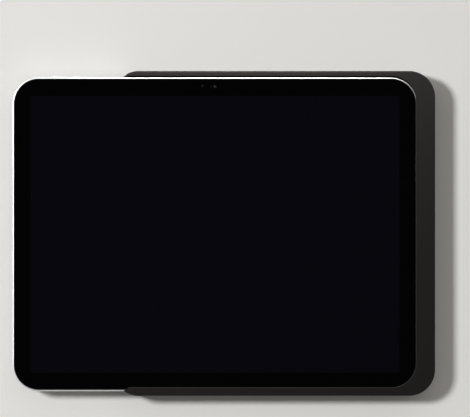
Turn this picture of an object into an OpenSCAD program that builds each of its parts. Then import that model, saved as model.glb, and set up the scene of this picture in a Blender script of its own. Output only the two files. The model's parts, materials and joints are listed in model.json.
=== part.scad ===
// Tablet wall mount: a milled aluminium tray that hangs on a wall plate.
// The tablet slides in from the open left side, over a lined channel, on to a docking plug.
// Every sub-part is drawn lying on its back, z rising from the wall, and is stood up at the end.
// X runs to the right, Z up, and the wall is the plane y = 0.

/* [Tablet] */
// Width of the docked tablet
tablet_w = 281; // [272:0.5:290]
// Height of the docked tablet
tablet_h = 217.8; // [210:0.2:226]
// Thickness of the tablet from its back to its glass
tablet_t = 6.6; // [6.2:0.1:7.6]
// Corner radius of the tablet
tablet_r = 18.4; // [17:0.1:19.4]
// Width of the bare metal edge around the cover glass
metal_edge = 1.1; // [0.9:0.1:1.6]
// Distance from the tablet's side edges to the picture area
border_side = 12.55; // [10:0.05:20]
// Distance from the tablet's top and bottom edges to the picture area
border_end = 13; // [10:0.1:20]
// Thickness of the cover glass
glass_t = 0.9; // [0.7:0.1:1.1]
// Thickness of the display panel behind the glass
panel_t = 1.2; // [0.9:0.1:1.3]
// Thickness of the tablet's back wall
case_back = 1; // [0.8:0.1:1.1]
// Thickness of the tablet's side wall at the hollow
case_side = 3; // [2.6:0.1:3.6]
// Rounding of the tablet's back edge
case_round = 1.3; // [0.6:0.1:1.6]

/* [Tray] */
// Width of the mount
mount_w = 223.5; // [218:0.5:228]
// Corner radius of the mount
mount_r = 18.2; // [17.4:0.1:19]
// Wall above the tablet
top_wall = 3.6; // [3:0.1:5]
// Wall under the channel liner
bottom_wall = 2.35; // [2:0.05:3]
// Width of the right-hand strip up to the edge of the front opening
strip_w = 13.25; // [13:0.05:14]
// How far the bottom lip reaches over the tablet
bottom_lip = 2.75; // [2:0.05:3.5]
// How far the right lip reaches over the tablet
right_lip = 1.1; // [0.8:0.05:1.3]
// Thickness of the lip in front of the glass
lip_t = 1.3; // [1:0.1:1.8]
// Corner radius of the front opening
opening_r = 17; // [16:0.1:18]
// Thickness of the tray's floor
floor_t = 4.5; // [4.2:0.1:6]
// Rounding of the outer front edge
front_round = 0.8; // [0.4:0.1:1]
// Chamfer round the front opening and along the back edge
fine_chamfer = 0.35; // [0.2:0.05:0.5]
// Distance from the left edge of the mount to the end of the top wall
top_wall_end = 9.5; // [7:0.1:12]
// Distance from the left edge of the mount to the end of the bottom lip
lip_end = 11.2; // [9:0.1:13]
// Angle at which the bottom lip's end leans back
lip_end_angle = 35; // [25:1:50]

/* [Liners] */
// Thickness of the felt pads behind the tablet
pad_t = 0.6; // [0.4:0.1:1]
// Width of each felt pad
pad_w = 14; // [8:0.5:20]
// Number of felt pads
pad_count = 4; // [2:1:6]
// Thickness of the slide liner in the channel
liner_t = 0.8; // [0.6:0.1:1.2]
// Thickness of the rubber stops at the right end
stop_t = 0.8; // [0.6:0.1:1.2]
// Length of each rubber stop
stop_len = 46; // [30:1:50]

/* [Wall plate] */
// Thickness of the wall plate
plate_t = 4.5; // [4.2:0.1:5.5]
// Metal left between the wall plate's pocket and the recess of the bay's cover
pocket_side_wall = 11.3; // [6:0.1:14]
// Metal left above the wall plate's pocket
pocket_top_wall = 11.2; // [6:0.1:16]
// Metal left under the wall plate's pocket, which the locking screws go through
pocket_bottom_wall = 7.6; // [6:0.1:9]
// Corner radius of the wall plate
plate_r = 9; // [5:0.5:14]
// Distance from the wall plate's side edges to the wall screws
screw_in = 29; // [28:0.5:36]
// Distance from the wall plate's top edge down to the upper wall screws
screw_down = 31.95; // [28:0.05:40]
// Width of a wall screw slot
screw_slot_w = 4.5; // [4:0.1:5]
// Length of a wall screw slot, end to end
screw_slot_len = 9; // [8:0.5:10]
// Width of the recess for a wall screw head
screw_head_w = 9.4; // [8.5:0.1:10]
// Depth of the recess for a wall screw head
screw_head_depth = 2.6; // [2:0.1:2.8]
// Spacing of the two screws into a round wall box, one above the other
box_spacing = 60; // [58:1:62]
// Diameter of the cable opening
cable_hole_d = 44; // [38:1:46]

/* [Hanging] */
// Distance from the wall plate's side edges to the hanging studs
stud_in = 15; // [12:0.5:16]
// Distance from the wall plate's top edge down to the upper hanging studs
stud_down = 26.95; // [24:0.05:36]
// Diameter of a stud's shoulder
shoulder_d = 5; // [4.5:0.1:5.5]
// Diameter of a stud's head
stud_head_d = 9; // [8.4:0.1:9.6]
// Thickness of a stud's head
stud_head_t = 1.6; // [1.2:0.1:1.7]
// Diameter of a stud's thread
stud_thread_d = 4; // [3:0.5:4]
// Length of a stud's thread in the tray's floor
stud_thread_len = 3.2; // [2.6:0.1:3.6]
// How far the tray drops when it is hung
hang_drop = 8.5; // [8:0.1:9.5]
// Thickness of the plate web behind which a stud's head sits
hook_web = 2.2; // [1.8:0.1:2.6]
// Diameter of the locking screws
lock_d = 3; // [2.5:0.1:3.2]
// Distance from the wall plate's side edges to the locking screws
lock_in = 29; // [16:0.5:50]

/* [Docking plug] */
// Width of the plug's metal shell
plug_w = 8.3; // [8:0.1:8.8]
// Thickness of the plug's metal shell
plug_h = 2.5; // [2.4:0.05:2.6]
// How far the plug reaches into the tablet
plug_reach = 6; // [5:0.1:6.2]
// Depth of the tablet's port
port_depth = 6.7; // [6.5:0.1:7.5]
// Wall of the port's metal shell
port_wall = 0.3; // [0.2:0.05:0.35]
// Width of the bay that holds the plug
bay_w = 6.4; // [6.2:0.1:6.6]
// Wall between the bay and the tablet
bay_wall = 2; // [1.8:0.1:2.2]
// Height of the deep part of the bay
bay_h = 34; // [32:0.5:36]
// Height of the ledge at each end of the bay
ledge_h = 6; // [5.5:0.1:7]
// Metal left in front of the bay
bay_skin = 1.8; // [1.4:0.1:2.2]
// Thickness of the bay's cover
cover_t = 1; // [0.8:0.1:1.1]
// How far the cover reaches beyond the bay at each end
cover_ear = 5.5; // [5:0.1:6.5]
// Diameter of the small screws in the bay
small_screw_d = 2; // [1.6:0.1:2.2]
// Thickness of the circuit boards
board_t = 1.2; // [1:0.1:1.6]

/* [Buttons] */
// Length of the power button
power_len = 16; // [12:0.5:20]
// Distance from the tablet's top edge to the middle of the power button
power_down = 29.4; // [26:0.2:40]
// Length of each volume button
volume_len = 10; // [8:0.5:12]
// Distance from the tablet's left edge to the middle of the first volume button
volume_in = 33; // [30:0.5:40]
// Distance between the middles of the volume buttons
volume_pitch = 14; // [13:0.5:16]
// Width of every button
button_w = 2.6; // [2:0.1:3]
// How far a button stands out of the tablet's edge
button_proud = 0.5; // [0.4:0.05:0.6]
// How far a button can be pressed
button_travel = 0.3; // [0.2:0.05:0.35]

/* [Cameras] */
// Distance from the tablet's top edge to the middle of the front camera
front_camera_down = 6.5; // [5.6:0.1:7]
// Distance from the tablet's middle to the light sensor, to the left
sensor_in = 8.6; // [6:0.1:12]
// Diameter of the front camera
front_camera_d = 4.2; // [3.4:0.1:5]
// Distance from the tablet's corner edges to the middle of the rear camera
rear_camera_in = 14; // [13:0.1:16]
// Diameter of the rear camera's ring
rear_camera_d = 13; // [11:0.1:14]
// How far the rear camera's ring stands out of the tablet's back
rear_camera_proud = 0.9; // [0.6:0.1:1.2]

/* [Clearances] */
// Gap between the mount's back edge and the wall
wall_gap = 0.5; // [0.3:0.1:0.8]
// Running gap between the tablet and what guides it
slide_gap = 0.1; // [0.08:0.01:0.2]
// Gap between the glass and the lip
lip_gap = 0.2; // [0.15:0.05:0.3]
// Gap between the tablet and the top wall
top_gap = 0.65; // [0.3:0.05:0.8]
// Gap round the docking plug in the tablet's port
plug_gap = 0.12; // [0.08:0.01:0.15]
// Gap round pieces that drop into a pocket
fit_gap = 0.1; // [0.05:0.01:0.15]
// Gap between a screw and its hole
screw_gap = 0.05; // [0.02:0.01:0.1]
// Gap between a stud and its slot in the plate
stud_gap = 0.2; // [0.1:0.05:0.3]
// Gap round a button in the tablet's edge
button_gap = 0.12; // [0.08:0.01:0.15]

/* [Hidden] */
$fn = 64;
// Length by which a cutter runs past a face
past = 1;

// Heights above the wall
floor_back = plate_t;
floor_front = floor_back + floor_t;
tablet_back = floor_front + pad_t + slide_gap;
tablet_front = tablet_back + tablet_t;
lip_back = tablet_front + lip_gap;
mount_front = lip_back + lip_t;
bay_floor = mount_front - bay_skin;
ledge_z = floor_front + past;
plug_z = tablet_back + tablet_t / 2;

// Places across, from the middle of the mount
mount_right = mount_w / 2;
mount_left = -mount_right;
opening_right = mount_right - strip_w;
tablet_right = opening_right + right_lip;
tablet_left = tablet_right - tablet_w;
tablet_x = (tablet_left + tablet_right) / 2;
cavity_right = tablet_right + slide_gap + stop_t;
bay_left = cavity_right + bay_wall;
bay_right = bay_left + bay_w;
far_left = mount_left - mount_r;

// Places up, from the middle of the mount
mount_h = bottom_wall + liner_t + slide_gap + tablet_h + top_gap + top_wall;
mount_top = mount_h / 2;
mount_bottom = -mount_top;
cavity_bottom = mount_bottom + bottom_wall;
tablet_bottom = cavity_bottom + liner_t + slide_gap;
tablet_top = tablet_bottom + tablet_h;
tablet_y = (tablet_bottom + tablet_top) / 2;
cavity_top = tablet_top + top_gap;
opening_bottom = tablet_bottom + bottom_lip;

// Wall plate: it rests on the locking screws' ends, and the tray drops by hang_drop over it
plate_side_gap = 1;
lock_reach = 1;
cover_rim = 1.2;
plate_w = 2 * (bay_left - cover_rim - pocket_side_wall - plate_side_gap);
pocket_bottom = mount_bottom + pocket_bottom_wall;
plate_bottom = pocket_bottom + lock_reach;
pocket_top = mount_top - pocket_top_wall;
plate_top = pocket_top - plate_side_gap - hang_drop;
stud_spacing_x = plate_w - 2 * stud_in;
stud_spacing_y = 2 * (plate_top - stud_down);
screw_spacing_x = plate_w - 2 * screw_in;
screw_spacing_y = 2 * (plate_top - screw_down);
lock_spacing = plate_w - 2 * lock_in;
lock_z = plate_t / 2 + lock_d / 4;
lock_sunk = 0.4;
lock_len = pocket_bottom_wall + lock_reach - lock_sunk;
lock_lead = lock_d / 6;
stud_shoulder_end = plate_t - hook_web - fit_gap;
stud_key = 0.58 * shoulder_d;
stud_key_depth = stud_head_t + 0.3;
stud_lead = 0.6;

// Bay and plug
ledge_reach = bay_h / 2 + ledge_h;
cover_reach = ledge_reach + cover_ear;
carrier_ear_z = ledge_z - board_t;
board_z = carrier_ear_z - board_t;
plug_tip = tablet_right - plug_reach;
block_w = 13;
block_h = plug_h + 2.6;
block_len = 4;
block_back_wall = 0.6;
groove_w = 8;
groove_depth = 2.4;
small_head_d = 2 * small_screw_d - 0.2;
small_head_t = 1.2;
small_head_lead = 0.4;
small_thread_len = 3.4;
cross_len = 0.6 * small_head_d;
cross_w = 0.4;
cross_depth = 0.6;
terminal_w = 12;
terminal_in = 0.5;
terminal_d = bay_w - 2 * terminal_in;
terminal_h = 5;
terminal_pitch = 5;
terminal_y = tablet_y - terminal_w / 2 - terminal_in * 2;
wire_hole_d = 2.2;
terminal_shaft_d = 2.8;
terminal_screw_t = 1.6;
terminal_sunk = 0.6;

// Tablet
case_front = tablet_t - 0.15;
metal_round = 0.9;
glass_round = 0.2;
glass_w = tablet_w - 2 * metal_edge;
glass_h = tablet_h - 2 * metal_edge;
glass_r = tablet_r - metal_edge;
glass_z = tablet_t - glass_t;
picture_w = tablet_w - 2 * border_side;
picture_h = tablet_h - 2 * border_end;
hollow_r = tablet_r - case_side;
hollow_w = tablet_w - 2 * case_side;
hollow_h = tablet_h - 2 * case_side;
panel_z = glass_z - panel_t;
panel_rim = 1.5;
panel_r = 4;
room = panel_z - case_back - fit_gap;
button_depth = 1.9;
cap_hollow = 1.2;
cap_skin = button_depth - cap_hollow / 2;
speaker_hole_d = 1.3;
speaker_hole_depth = 1.6;
speaker_pitch = 2.6;
speaker_holes = 8;
speaker_w = 8;
speaker_len = 26;
speaker_in = 0.6;
speaker_r = 1.5;
speaker_down = 58.8;
speaker_y = tablet_h / 2 - speaker_down;
main_board_w = 24;
main_board_in = speaker_w + 2 * speaker_in + 0.8;
main_board_end = 43.8;
main_board_h = hollow_h - 2 * main_board_end;
board_hole_d = 2.2;
board_hole_in = 6;
cell_r = 3;
cell_gap = 6;
cell_side_in = 27.8;
cell_end_in = 24.5;
cell_board_gap = 18.5;
cells_left = cell_end_in - hollow_w / 2;
cells_right = hollow_w / 2 - main_board_in - main_board_w - cell_board_gap;
cell_w = (cells_right - cells_left - cell_gap) / 2;
cell_h = hollow_h - 2 * cell_side_in;
camera_len = 2.2;
camera_base_t = 1.2;
camera_base_rim = 1.6;
sensor_d = 2.4;
sensor_t = 0.8;
sensor_up = 0.5;
ring_w = 2.2;
ring_lead = 0.4;
ring_step = 1.25;
lens_sunk = 0.3;
port_w = plug_w + 2 * plug_gap;
port_h = plug_h + 2 * plug_gap;
port_back = 0.6;
port_sunk = 0.3;
port_fit = 0.04;
tongue_w = 6.6;
tongue_h = 0.7;
tongue_short = 1.2;
plug_slot_h = tongue_h + 0.4;
plug_slot_short = 0.4;

// Stands a piece up from its back, so that z becomes the way out of the wall
module stood_up() {
    rotate([90, 0, 0]) children();
}

// Places a piece of the tablet, drawn about the tablet's own middle with its back at z = 0
module in_tablet() {
    stood_up() translate([tablet_x, tablet_y, tablet_back]) children();
}

// Extrudes a drawing towards +x; its first axis lies along y and its second along z
module along_x(x0, x1) {
    translate([x0, 0, 0]) rotate([90, 0, 90]) linear_extrude(x1 - x0) children();
}

// Rectangle with round corners, from its low and high corner
module round_rect(x0, x1, y0, y1, r) {
    translate([x0 + r, y0]) square([x1 - x0 - 2 * r, y1 - y0]);
    translate([x0, y0 + r]) square([x1 - x0, y1 - y0 - 2 * r]);
    for (x = [x0 + r, x1 - r], y = [y0 + r, y1 - r]) translate([x, y]) circle(r);
}

// Long hole, centred, its round ends at the ends of its length
module long_hole(len, w) {
    if (len > w) square([len - w, w], center = true);
    for (s = [-1, 1]) translate([s * (len - w) / 2, 0]) circle(d = w);
}

// Carries an edge section round a centred rectangle with round corners.
// The section's first axis points outwards from the corner's axis, and its second along z.
module carried_round(w, h, r, z0, z1) {
    translate([r - w / 2, r - h / 2, z0]) cube([w - 2 * r, h - 2 * r, z1 - z0]);
    for (turn = [0, 1]) {
        // Half the length across, and the straight stretch along
        half = turn == 0 ? w / 2 : h / 2;
        straight = turn == 0 ? h - 2 * r : w - 2 * r;
        for (side = [0, 180])
            rotate([0, 0, 90 * turn + side]) translate([half - r, 0, 0])
                rotate([90, 0, 0]) linear_extrude(straight, center = true) children();
    }
    for (quarter = [0 : 3]) {
        sx = quarter == 0 || quarter == 3 ? 1 : -1;
        sy = quarter < 2 ? 1 : -1;
        translate([sx * (w / 2 - r), sy * (h / 2 - r), 0])
            rotate([0, 0, 90 * quarter]) rotate_extrude(angle = 90) children();
    }
}

// Edge section from z0 to z1, rounded by front_e at the front and by back_e at the back
module edge_section(r, z0, z1, front_e, back_e = 0) {
    translate([0, z0 + back_e]) square([r, z1 - z0 - front_e - back_e]);
    translate([0, z0 + back_e]) square([r - front_e, z1 - z0 - back_e]);
    translate([0, z0]) square([r - back_e, z1 - z0 - front_e]);
    translate([r - front_e, z1 - front_e]) circle(front_e);
    if (back_e > 0) translate([r - back_e, z0 + back_e]) circle(back_e);
}

// Space that the tablet slides in, open to the left
module tray_cavity() {
    corner = tablet_r + slide_gap;
    translate([0, 0, floor_front]) linear_extrude(lip_back - floor_front)
        round_rect(far_left - corner, cavity_right, cavity_bottom, cavity_top, corner);
}

// Front opening with its chamfered edge, open to the left
module front_opening() {
    w = opening_right - far_left;
    h = cavity_top - opening_bottom;
    flare = fine_chamfer + past;
    translate([opening_right - w / 2, cavity_top - h / 2, 0])
        carried_round(w, h, opening_r, lip_back - past, mount_front + past)
            polygon([
                [0, lip_back - past], [opening_r, lip_back - past],
                [opening_r, mount_front - fine_chamfer], [opening_r + flare, mount_front + past],
                [0, mount_front + past]
            ]);
}

// What is cut off the left ends of the top wall and the bottom lip
module left_ends() {
    reach = mount_r;
    translate([far_left, cavity_top - past, floor_front])
        cube([mount_left + top_wall_end - far_left, top_wall + 2 * past, mount_front]);
    translate([mount_left + lip_end, opening_bottom, lip_back - past / 2])
        linear_extrude(lip_t + 2 * past)
            polygon([
                [0, past], [0, 0],
                [-reach * cos(lip_end_angle), -reach * sin(lip_end_angle)],
                [-2 * reach, -reach * sin(lip_end_angle)], [-2 * reach, past]
            ]);
}

// Bay for the docking plug, milled from the back, with a ledge at each end
module bay_hollow() {
    translate([bay_left, tablet_y - bay_h / 2, 0]) cube([bay_w, bay_h, bay_floor]);
    translate([bay_left, tablet_y - ledge_reach, 0]) cube([bay_w, 2 * ledge_reach, ledge_z]);
    linear_extrude(wall_gap + cover_t)
        round_rect(bay_left - cover_rim, bay_right + cover_rim,
            tablet_y - cover_reach, tablet_y + cover_reach, 1);
    // Way through to the tablet's port
    translate([0, tablet_y, plug_z]) along_x(cavity_right - past, bay_left + past)
        long_hole(plug_w + 1, plug_h + 1);
    // Groove that leads the supply wires over from the wall plate's pocket
    translate([plate_w / 2, tablet_y - groove_w / 2, 0])
        cube([bay_left - plate_w / 2 + past, groove_w, plate_t]);
    for (s = [-1, 1]) {
        translate([(bay_left + bay_right) / 2, tablet_y + s * (ledge_reach - ledge_h / 2), 0])
            cylinder(d = small_screw_d, h = ledge_z + small_thread_len);
        translate([(bay_left + bay_right) / 2, tablet_y + s * (cover_reach - cover_ear / 2), 0])
            cylinder(d = small_screw_d, h = wall_gap + cover_t + small_thread_len);
    }
}

// Place of each hanging stud when the tray is hung
module at_studs() {
    for (x = [-1, 1], y = [-1, 1])
        translate([x * stud_spacing_x / 2, y * stud_spacing_y / 2, 0]) children();
}

module housing() {
    color([0.2, 0.19, 0.185]) stood_up() difference() {
        carried_round(mount_w, mount_h, mount_r, wall_gap, mount_front)
            edge_section(mount_r, wall_gap, mount_front, front_round, fine_chamfer);
        tray_cavity();
        front_opening();
        left_ends();
        bay_hollow();
        linear_extrude(plate_t)
            round_rect(-plate_w / 2 - plate_side_gap, plate_w / 2 + plate_side_gap,
                pocket_bottom, pocket_top, plate_r);
        at_studs() cylinder(d = stud_thread_d, h = floor_back + stud_thread_len);
        for (s = [-1, 1])
            translate([s * lock_spacing / 2, pocket_bottom + past, lock_z]) rotate([90, 0, 0])
                cylinder(d = lock_d, h = pocket_bottom - mount_bottom + 2 * past);
    }
}

// Keyhole: entry above, narrow slot down to the stud, and room behind for the head
module keyhole() {
    slot = shoulder_d + 2 * stud_gap;
    channel = stud_head_d + 2 * stud_gap;
    translate([0, hang_drop, -past]) cylinder(d = channel, h = plate_t + 2 * past);
    for (track = [[slot, plate_t + 2 * past], [channel, plate_t - hook_web + past]])
        translate([0, 0, -past]) linear_extrude(track[1]) {
            circle(d = track[0]);
            translate([-track[0] / 2, 0]) square([track[0], hang_drop]);
        }
}

// Hole of a given length for a wall screw, with a recess that takes its head below the plate's face
module screw_slot(len) {
    translate([0, 0, -past]) linear_extrude(plate_t + 2 * past) long_hole(len, screw_slot_w);
    translate([0, 0, plate_t - screw_head_depth]) linear_extrude(screw_head_depth + past)
        long_hole(len - screw_slot_w + screw_head_w, screw_head_w);
}

module wall_plate() {
    color([0.62, 0.63, 0.64]) stood_up() difference() {
        linear_extrude(plate_t)
            round_rect(-plate_w / 2, plate_w / 2, plate_bottom, plate_top, plate_r);
        at_studs() keyhole();
        for (x = [-1, 1], y = [-1, 1])
            translate([x * screw_spacing_x / 2, y * screw_spacing_y / 2, 0]) screw_slot(screw_slot_len);
        for (y = [-1, 1]) translate([0, y * box_spacing / 2, 0]) screw_slot(screw_slot_w);
        translate([0, 0, -past]) cylinder(d = cable_hole_d, h = plate_t + 2 * past);
        // Groove for the supply wires, from the cable opening to the right edge
        translate([0, tablet_y - groove_w / 2, plate_t - groove_depth])
            cube([plate_w / 2 + past, groove_w, groove_depth + past]);
    }
}

module hanging_studs() {
    color([0.72, 0.73, 0.74]) stood_up() at_studs() difference() {
        rotate_extrude() polygon([
            [0, stud_shoulder_end - stud_head_t], [stud_head_d / 2 - 0.3, stud_shoulder_end - stud_head_t],
            [stud_head_d / 2, stud_shoulder_end - stud_head_t + 0.3], [stud_head_d / 2, stud_shoulder_end],
            [shoulder_d / 2, stud_shoulder_end], [shoulder_d / 2, floor_back],
            [stud_thread_d / 2 - screw_gap, floor_back],
            [stud_thread_d / 2 - screw_gap, floor_back + stud_thread_len - fit_gap - stud_lead],
            [stud_thread_d / 2 - stud_lead, floor_back + stud_thread_len - fit_gap],
            [0, floor_back + stud_thread_len - fit_gap]
        ]);
        translate([0, 0, stud_shoulder_end - stud_head_t - past])
            cylinder(d = stud_key, h = past + stud_key_depth, $fn = 6);
    }
}

module locking_screws() {
    color([0.16, 0.16, 0.17]) stood_up() for (s = [-1, 1])
        translate([s * lock_spacing / 2, plate_bottom, lock_z]) rotate([90, 0, 0]) difference() {
            union() {
                translate([0, 0, lock_lead]) cylinder(d = lock_d - 2 * screw_gap, h = lock_len - lock_lead);
                cylinder(d1 = lock_d - 2 * lock_lead, d2 = lock_d - 2 * screw_gap, h = lock_lead);
            }
            translate([0, 0, lock_len - 0.6 * lock_d]) cylinder(d = lock_d / 2, h = lock_d, $fn = 6);
        }
}

// Felt pads, spread evenly over the tray's floor
module tray_pads() {
    margin = 16;
    corner = 3;
    pitch = (cavity_right - mount_left - 2 * margin - pad_w) / (pad_count - 1);
    color([0.13, 0.13, 0.14]) stood_up() translate([0, 0, floor_front]) linear_extrude(pad_t)
        for (i = [0 : pad_count - 1])
            translate([mount_left + margin + pitch * i, 0])
                round_rect(0, pad_w, tablet_bottom + tablet_r, tablet_top - tablet_r, corner);
}

// Low-friction strip that the tablet's lower edge runs on
module channel_liner() {
    left = mount_left + lip_end;
    right = tablet_right - tablet_r;
    color([0.1, 0.1, 0.11]) stood_up()
        translate([left, cavity_bottom, floor_front + fit_gap])
            cube([right - left, liner_t, lip_back - floor_front - 2 * fit_gap]);
}

// Rubber strips that the tablet's right edge comes to rest against
module end_stops() {
    edge = 0.8;
    from_bay = 4;
    color([0.08, 0.08, 0.085]) stood_up() for (s = [-1, 1])
        translate([cavity_right - stop_t, tablet_y + s * (bay_h / 2 + stop_len / 2 + from_bay) - stop_len / 2,
            tablet_back + edge])
            cube([stop_t, stop_len, tablet_t - 2 * edge]);
}

// Metal shell of the plug, hollow at its mouth so that the port's tongue goes in
module dock_plug() {
    color([0.78, 0.78, 0.77]) stood_up() translate([0, tablet_y, plug_z]) difference() {
        along_x(plug_tip, bay_left + block_len - block_back_wall) long_hole(plug_w, plug_h);
        along_x(plug_tip - past, plug_tip + port_depth - plug_slot_short)
            square([tongue_w + 2 * plug_gap, plug_slot_h], center = true);
    }
}

module plug_block() {
    color([0.07, 0.07, 0.075]) stood_up() translate([0, tablet_y, plug_z]) difference() {
        along_x(bay_left, bay_left + block_len) square([block_w, block_h], center = true);
        along_x(bay_left - past, bay_left + block_len - block_back_wall) long_hole(plug_w, plug_h);
    }
}

// Moulded carrier in the bay, with an ear on each ledge and a pocket for the plug's block
module plug_carrier() {
    mid_x = (bay_left + bay_right) / 2;
    color([0.09, 0.09, 0.1]) stood_up() difference() {
        union() {
            translate([bay_left + fit_gap, tablet_y - bay_h / 2 + fit_gap, carrier_ear_z])
                cube([bay_w - 2 * fit_gap, bay_h - 2 * fit_gap, bay_floor - carrier_ear_z]);
            translate([bay_left + fit_gap, tablet_y - ledge_reach + fit_gap, carrier_ear_z])
                cube([bay_w - 2 * fit_gap, 2 * (ledge_reach - fit_gap), board_t]);
        }
        translate([0, tablet_y, plug_z]) along_x(bay_left - past, bay_left + block_len + fit_gap)
            square([block_w + 2 * fit_gap, block_h + 2 * fit_gap], center = true);
        for (s = [-1, 1])
            translate([mid_x, tablet_y + s * (ledge_reach - ledge_h / 2), 0])
                cylinder(d = small_screw_d + 2 * fit_gap, h = mount_front);
    }
}

// Pan-head screw along z, its head's underside at z = 0 and its thread rising from it
module small_screw(len) {
    difference() {
        union() {
            translate([0, 0, -small_head_t])
                cylinder(d1 = small_head_d - 1.5 * small_head_lead, d2 = small_head_d, h = small_head_lead);
            translate([0, 0, small_head_lead - small_head_t])
                cylinder(d = small_head_d, h = small_head_t - small_head_lead);
            cylinder(d = small_screw_d - 2 * screw_gap, h = len);
        }
        for (turn = [0, 90])
            translate([0, 0, -small_head_t]) rotate(turn)
                cube([cross_len, cross_w, 2 * cross_depth], center = true);
    }
}

module carrier_screws() {
    color([0.74, 0.75, 0.76]) stood_up() for (s = [-1, 1])
        translate([(bay_left + bay_right) / 2, tablet_y + s * (ledge_reach - ledge_h / 2), carrier_ear_z])
            small_screw(board_t + small_thread_len - 2 * fit_gap);
}

module dock_board() {
    color([0.05, 0.28, 0.16]) stood_up()
        translate([bay_left + 2 * fit_gap, tablet_y - bay_h / 2 + terminal_in, board_z])
            cube([bay_w - 4 * fit_gap, bay_h - 2 * terminal_in, board_t]);
}

// Terminals for the two supply wires, which come in from the left
module terminal_block() {
    color([0.1, 0.42, 0.24]) stood_up()
        translate([bay_left + terminal_in, terminal_y - terminal_w / 2, board_z - terminal_h]) difference() {
            cube([terminal_d, terminal_w, terminal_h]);
            for (s = [-1, 1]) translate([0, terminal_w / 2 + s * terminal_pitch / 2, 0]) {
                translate([-past, 0, terminal_h - wire_hole_d / 2 - 0.8]) rotate([0, 90, 0])
                    cylinder(d = wire_hole_d, h = 0.75 * terminal_d + past);
                translate([terminal_d / 2, 0, -past])
                    cylinder(d = terminal_shaft_d, h = past + terminal_screw_t + terminal_sunk);
            }
        }
}

module terminal_screws() {
    color([0.76, 0.76, 0.74]) stood_up() for (s = [-1, 1])
        translate([(bay_left + bay_right) / 2, terminal_y + s * terminal_pitch / 2,
            board_z - terminal_h + terminal_sunk])
            difference() {
                cylinder(d = terminal_shaft_d - fit_gap, h = terminal_screw_t);
                cube([0.7 * terminal_shaft_d, 0.5, 1], center = true);
            }
}

// Back cover of the bay, with a notch over the wire groove left to the plate's side
module bay_cover() {
    color([0.17, 0.17, 0.175]) stood_up() difference() {
        translate([0, 0, wall_gap]) linear_extrude(cover_t)
            round_rect(bay_left - cover_rim + fit_gap, bay_right + cover_rim - fit_gap,
                tablet_y - cover_reach + fit_gap, tablet_y + cover_reach - fit_gap, 1);
        for (s = [-1, 1])
            translate([(bay_left + bay_right) / 2, tablet_y + s * (cover_reach - cover_ear / 2), wall_gap]) {
                cylinder(d = small_screw_d + 2 * fit_gap, h = cover_t + past);
                cylinder(d1 = small_head_d, d2 = small_screw_d + 2 * fit_gap, h = cover_t - 0.2);
            }
    }
}

module bay_cover_screws() {
    color([0.7, 0.7, 0.71]) stood_up() for (s = [-1, 1])
        translate([(bay_left + bay_right) / 2, tablet_y + s * (cover_reach - cover_ear / 2), wall_gap + 0.05])
            difference() {
                union() {
                    cylinder(d1 = small_head_d - 2.5 * fit_gap, d2 = small_screw_d - 2 * screw_gap,
                        h = cover_t - 2.5 * fit_gap);
                    cylinder(d = small_screw_d - 2 * screw_gap, h = cover_t + small_thread_len - 0.3);
                }
                for (turn = [0, 90]) rotate(turn)
                    cube([cross_len, cross_w, 1.5 * cross_depth], center = true);
            }
}

// Recess in the tablet's edge that a button moves in, its length along y and its mouth at x = 0
module button_recess(len) {
    translate([-past, 0, 0]) rotate([0, 90, 0]) rotate(90) linear_extrude(button_depth + button_travel + past)
        long_hole(len + 2 * button_gap, button_w + 2 * button_gap);
}

// Button cap that faces -x, its length along y and its outer face proud of x = 0
module button_cap(len) {
    difference() {
        translate([-button_proud, 0, 0]) rotate([0, 90, 0]) rotate(90)
            linear_extrude(button_depth + button_proud) long_hole(len, button_w);
        translate([cap_skin, 0, 0]) cube([cap_hollow + past, len - button_w, cap_hollow], center = true);
    }
}

// Places of the three buttons, in the tablet's own coordinates
module at_power() {
    translate([-tablet_w / 2, tablet_h / 2 - power_down, tablet_t / 2]) children();
}

module at_volume(i) {
    translate([volume_in + i * volume_pitch - tablet_w / 2, tablet_h / 2, tablet_t / 2])
        rotate([0, 0, -90]) children();
}

module at_rear_camera() {
    translate([rear_camera_in - tablet_w / 2, tablet_h / 2 - rear_camera_in, 0]) children();
}

module tablet_case() {
    color([0.83, 0.84, 0.85]) in_tablet() difference() {
        carried_round(tablet_w, tablet_h, tablet_r, 0, case_front)
            edge_section(tablet_r, 0, case_front, metal_round, case_round);
        translate([0, 0, glass_z - fit_gap]) linear_extrude(glass_t + past)
            round_rect(-glass_w / 2, glass_w / 2, -glass_h / 2, glass_h / 2, glass_r);
        translate([0, 0, case_back]) linear_extrude(tablet_t)
            round_rect(case_side - tablet_w / 2, tablet_w / 2 - case_side,
                case_side - tablet_h / 2, tablet_h / 2 - case_side, hollow_r);
        translate([0, 0, tablet_t / 2]) along_x(tablet_w / 2 - case_side - past, tablet_w / 2 + past)
            long_hole(port_w + 2 * port_wall, port_h + 2 * port_wall);
        at_power() button_recess(power_len);
        for (i = [0, 1]) at_volume(i) button_recess(volume_len);
        at_rear_camera() translate([0, 0, -past])
            cylinder(d = rear_camera_d - 2 * ring_step + fit_gap, h = case_back + 2 * past);
        // Sound holes in both short edges
        for (end = [0, 180], s = [-1, 1], i = [0 : speaker_holes - 1])
            rotate(end)
                translate([tablet_w / 2 - speaker_hole_depth,
                    s * (speaker_y + (i - (speaker_holes - 1) / 2) * speaker_pitch), tablet_t / 2])
                    rotate([0, 90, 0]) cylinder(d = speaker_hole_d, h = speaker_hole_depth + past);
    }
}

module cover_glass() {
    color([0.02, 0.02, 0.025]) in_tablet()
        carried_round(glass_w - 2 * fit_gap, glass_h - 2 * fit_gap, glass_r - fit_gap, glass_z, tablet_t)
            edge_section(glass_r - fit_gap, glass_z, tablet_t, glass_round);
}

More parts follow.
